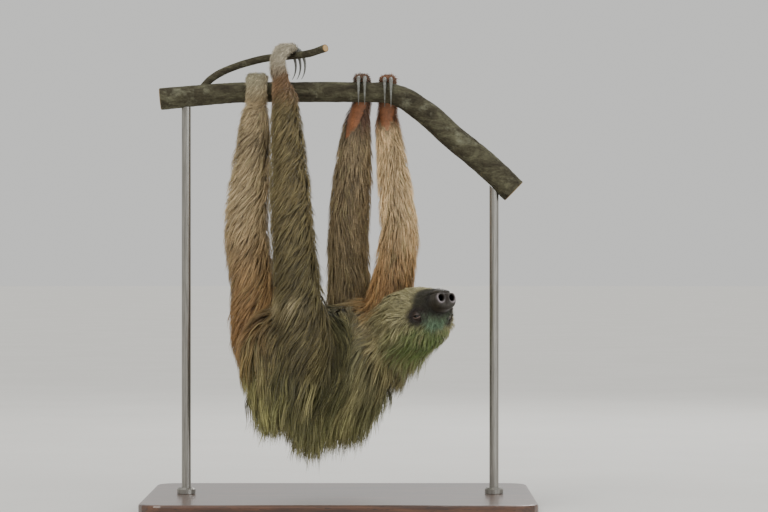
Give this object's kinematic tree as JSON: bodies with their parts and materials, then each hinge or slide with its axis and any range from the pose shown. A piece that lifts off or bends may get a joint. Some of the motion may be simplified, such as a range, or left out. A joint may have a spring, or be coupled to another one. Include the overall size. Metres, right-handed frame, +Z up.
{
  "type": "hanging two-toed sloth on a display stand",
  "caption": "Life-size two-toed sloth hanging belly up from a cut branch, head turned back, on a flat base with rods.",
  "frame": {"origin": "middle of the display base's underside", "axes": "+Z up, the branch runs along X, and the sloth's face looks towards -Y and a little to +X"},
  "size_m": [0.5, 0.38, 0.6058],
  "materials": {
    "coat": "long shaggy tan and olive-brown hair over short-haired skin",
    "nose": "bare dark leathery skin with pale nostril rims",
    "eye": "wet glossy dark brown",
    "claw": "satin grey horn",
    "bark": "rough grey-brown bark with cut ends",
    "stand_wood": "dark satin varnish",
    "stand_metal": "brushed dark steel"
  },
  "bodies": {
    "root": {"trunk": "coat", "neck": "coat", "head": "coat", "nose": "nose", "left_ear": "coat", "right_ear": "coat", "left_eye": "eye", "right_eye": "eye", "left_upper_arm": "coat", "right_upper_arm": "coat", "left_forearm": "coat", "right_forearm": "coat", "left_hand": "coat", "right_hand": "coat", "left_thigh": "coat", "right_thigh": "coat", "left_shank": "coat", "right_shank": "coat", "left_foot": "coat", "right_foot": "coat", "left_fore_claw_1": "claw", "left_fore_claw_2": "claw", "right_fore_claw_1": "claw", "right_fore_claw_2": "claw", "left_hind_claw_1": "claw", "left_hind_claw_2": "claw", "left_hind_claw_3": "claw", "right_hind_claw_1": "claw", "right_hind_claw_2": "claw", "right_hind_claw_3": "claw", "perch_branch": "bark", "perch_twig": "bark", "stand_base": "stand_wood", "stand_rod_left": "stand_metal", "stand_rod_right": "stand_metal"}
  },
  "joints": []
}
